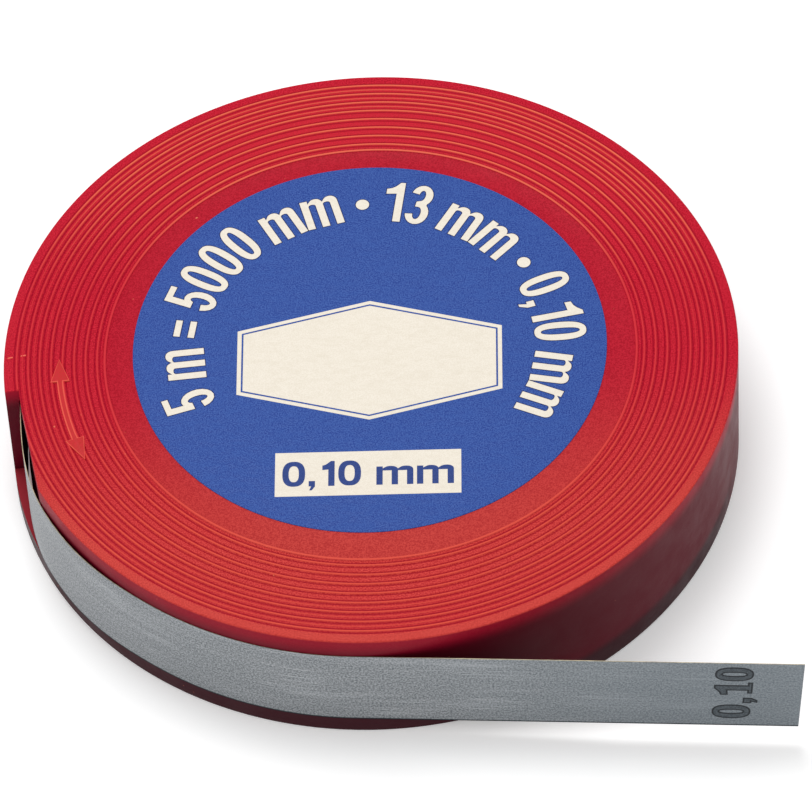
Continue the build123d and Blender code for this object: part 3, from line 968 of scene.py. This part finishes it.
def strip_mesh(name, points, thickness, low, high, rows):
    """A thin upright strip whose outer face follows points in plan; its UV map is in millimetres.

    The faces take material slot 0, and the cut edges slot 1.
    """
    bm = bmesh.new()
    uv = bm.loops.layers.uv.new("length")
    count = len(points)
    outer, inner, lengths = [], [], [0.0]
    for index, (x, y) in enumerate(points):
        before = Vector(points[max(index - 1, 0)])
        after = Vector(points[min(index + 1, count - 1)])
        along = (after - before).normalized()
        inward = Vector((-along.y, along.x))
        if index:
            lengths.append(lengths[-1] + (Vector(points[index]) - Vector(points[index - 1])).length)
        outer.append(Vector((x, y)))
        inner.append(Vector((x, y)) + inward * thickness)
    heights = [low + (high - low) * row / rows for row in range(rows + 1)]
    sides = []
    for side in (outer, inner):
        sides.append([[bm.verts.new((p.x * MM, p.y * MM, h * MM)) for h in heights] for p in side])

    def quad(corners, spots, material):
        face = bm.faces.new(corners)
        face.material_index = material
        for loop, spot in zip(face.loops, spots):
            loop[uv].uv = spot

    for index in range(count - 1):
        after = index + 1
        start, end = lengths[index], lengths[after]
        for row in range(rows):
            low_h, high_h = heights[row], heights[row + 1]
            spots = ((start, low_h), (end, low_h), (end, high_h), (start, high_h))
            for side in sides:
                corners = (side[index][row], side[after][row], side[after][row + 1], side[index][row + 1])
                quad(corners, spots, 0)
        for row in (0, rows):
            edge = (sides[0][index][row], sides[0][after][row], sides[1][after][row], sides[1][index][row])
            height = heights[row]
            quad(edge, ((start, height), (end, height), (end, height), (start, height)), 1)
    for index in (0, count - 1):
        front, rear = sides[0][index], sides[1][index]
        for row in range(rows):
            end_face = (front[row], rear[row], rear[row + 1], front[row + 1])
            quad(end_face, ((lengths[index], heights[row]),) * 4, 1)
    bmesh.ops.recalc_face_normals(bm, faces=bm.faces)
    mesh = bpy.data.meshes.new(name)
    bm.to_mesh(mesh)
    bm.free()
    return mesh


def gauge_tape():
    """The tape from the slot round the wall to its free end, as one strip on no body, in place of the two CAD
    tape parts.
    """
    mesh = strip_mesh("gauge_tape", tape_path(), TAPE_T / MM, TAPE_LOW_Z / MM, TAPE_HIGH_Z / MM, 8)
    for vert in mesh.vertices:
        if vert.co.x > RUN_END_X - 0.1 * MM:
            vert.co.x -= RUN_CUT_BACK * MM * (TAPE_HIGH_Z - vert.co.z) / (TAPE_HIGH_Z - TAPE_LOW_Z)
    mesh.materials.append(TAPE)
    mesh.materials.append(TAPE_EDGE_HIGHLIGHT)
    piece = new_piece("gauge_tape", mesh, TAPE, None, ("tape_wrap", "tape_run"))
    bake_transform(piece)


def tape_marking(name, grow, material, sunk):
    """The thickness in figures, reading up the tape near its end, on the outer face."""
    thickness = PRINT_T - sunk
    mesh = straight_line("0,10", 4.75 * MM, 0.58, 0.2, 0.55 * MM, 0.0, grow, thickness, FOOTED_FIGURES)
    mesh = stretched(mesh, MARKING_LENGTH * MM + 2 * grow)
    lean = Matrix.Identity(4)
    lean[1][0] = -RUN_CUT_BACK * MM / (TAPE_HIGH_Z - TAPE_LOW_Z)
    mesh.transform(lean)
    mesh.transform(Matrix.Rotation(math.pi / 2, 4, "Z"))
    mesh.transform(Matrix.Rotation(math.pi / 2, 4, "X"))
    middle_z = (TAPE_LOW_Z + TAPE_HIGH_Z) / 2
    where = (RUN_END_X - MARKING_FROM_END * MM, -WRAP_R + SUNK, middle_z + MARKING_RAISE * MM)
    mesh.transform(Matrix.Translation(where))
    new_piece(name, mesh, material, "free_end")


def tape_stock():
    """The wound stock as one long spiral of strip."""
    outer_r = COIL_HIGH.x / MM
    steps = STOCK_TURNS * STOCK_STEPS
    points = []
    for index in range(steps + 1):
        share = index / steps
        radius = STOCK_INNER_R + TAPE_T / MM + (outer_r - STOCK_INNER_R - TAPE_T / MM) * share
        points.append(polar(radius, LEAD_START + 360 * STOCK_TURNS * share))
    mesh = strip_mesh("tape_stock", points, TAPE_T * 0.9 / MM, COIL_LOW.z / MM, COIL_HIGH.z / MM, 1)
    mesh.materials.append(SHADED_STOCK)
    mesh.materials.append(SHADED_STOCK_EDGE)
    new_piece("tape_stock", mesh, SHADED_STOCK, "core", ("tape_coil",))


case_shell()
case_relief()
label_sheet()
label_art()
gauge_tape()
tape_marking("tape_marking_edge", 0.1 * MM, INK, 0.006 * MM)
tape_marking("tape_marking", -0.14 * MM, INK_PALE, 0.0)
tape_stock()

# The pieces that are shown as their CAD shapes.
CARRIED = {
    "base_disc": RED,
    "winding_drum": BLACK,
    "anchor_plate": ZINC,
    "anchor_rivets": ZINC,
    "spring_washer": SPRING,
    "pivot_washer": ZINC,
    "pivot_screw": ZINC,
}
for node, material in CARRIED.items():
    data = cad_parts[node].data
    data.materials.clear()
    data.materials.append(material)

# ---- floor, light and camera --------------------------------------------------------------------
bpy.ops.mesh.primitive_plane_add(size=6.0, location=(0, 0, -0.00002))
floor = bpy.context.object
floor.name = "floor"
floor.data.materials.append(floor_paper())

VIEW_TURN = 5.7              # the camera looks this far round from straight at the free tape
VIEW_UP = 50.609             # degrees above level
VIEW_ROLL = -3.5606
EYE = (4.18, -577.4, 691.3)  # in millimetres, from the middle of the case's top, before VIEW_TURN
EYE_ORIGIN_Z = 18.6
LENS = 305.8


def turned_in_plan(x, y, degrees):
    turn = math.radians(degrees)
    return (x * math.cos(turn) - y * math.sin(turn), x * math.sin(turn) + y * math.cos(turn))


def add_camera():
    """The photograph's view: a long lens from high up, rolled slightly."""
    elevation = math.radians(VIEW_UP)
    roll = math.radians(VIEW_ROLL)
    eye_x, eye_y = turned_in_plan(EYE[0], EYE[1], VIEW_TURN)
    eye = Vector((eye_x * MM, eye_y * MM, (EYE[2] + EYE_ORIGIN_Z) * MM))
    right = Vector((1, 0, 0))
    up = Vector((0, math.sin(elevation), math.cos(elevation)))
    back = right.cross(up)
    basis = Matrix((right, up, back)).transposed()
    basis = Matrix.Rotation(math.radians(VIEW_TURN), 3, "Z") @ basis @ Matrix.Rotation(roll, 3, "Z")
    data = bpy.data.cameras.new("view")
    data.sensor_width = 36.0
    data.lens = LENS
    data.clip_start = 0.01
    data.clip_end = 20.0
    camera = bpy.data.objects.new("view", data)
    bpy.context.scene.collection.objects.link(camera)
    camera.matrix_world = Matrix.Translation(eye) @ basis.to_4x4()
    bpy.context.scene.camera = camera


def add_area(name, where, size, power):
    """A square lamp that faces the origin."""
    data = bpy.data.lights.new(name, "AREA")
    data.energy = power
    data.size = size
    lamp = bpy.data.objects.new(name, data)
    bpy.context.scene.collection.objects.link(lamp)
    lamp.location = where
    lamp.rotation_euler = (-Vector(where)).to_track_quat("-Z", "Y").to_euler()


add_camera()
add_area("key", (-0.12, 0.22, 0.85), 0.4, 3.2)
add_area("front", (-0.3, -0.5, 0.75), 0.5, 0.8)

world = bpy.data.worlds.new("studio")
bpy.context.scene.world = world
world.use_nodes = True
world.node_tree.nodes["Background"].inputs["Color"].default_value = (1.0, 1.0, 1.0, 1.0)
world.node_tree.nodes["Background"].inputs["Strength"].default_value = 0.62
bpy.context.scene.view_settings.view_transform = "Standard"
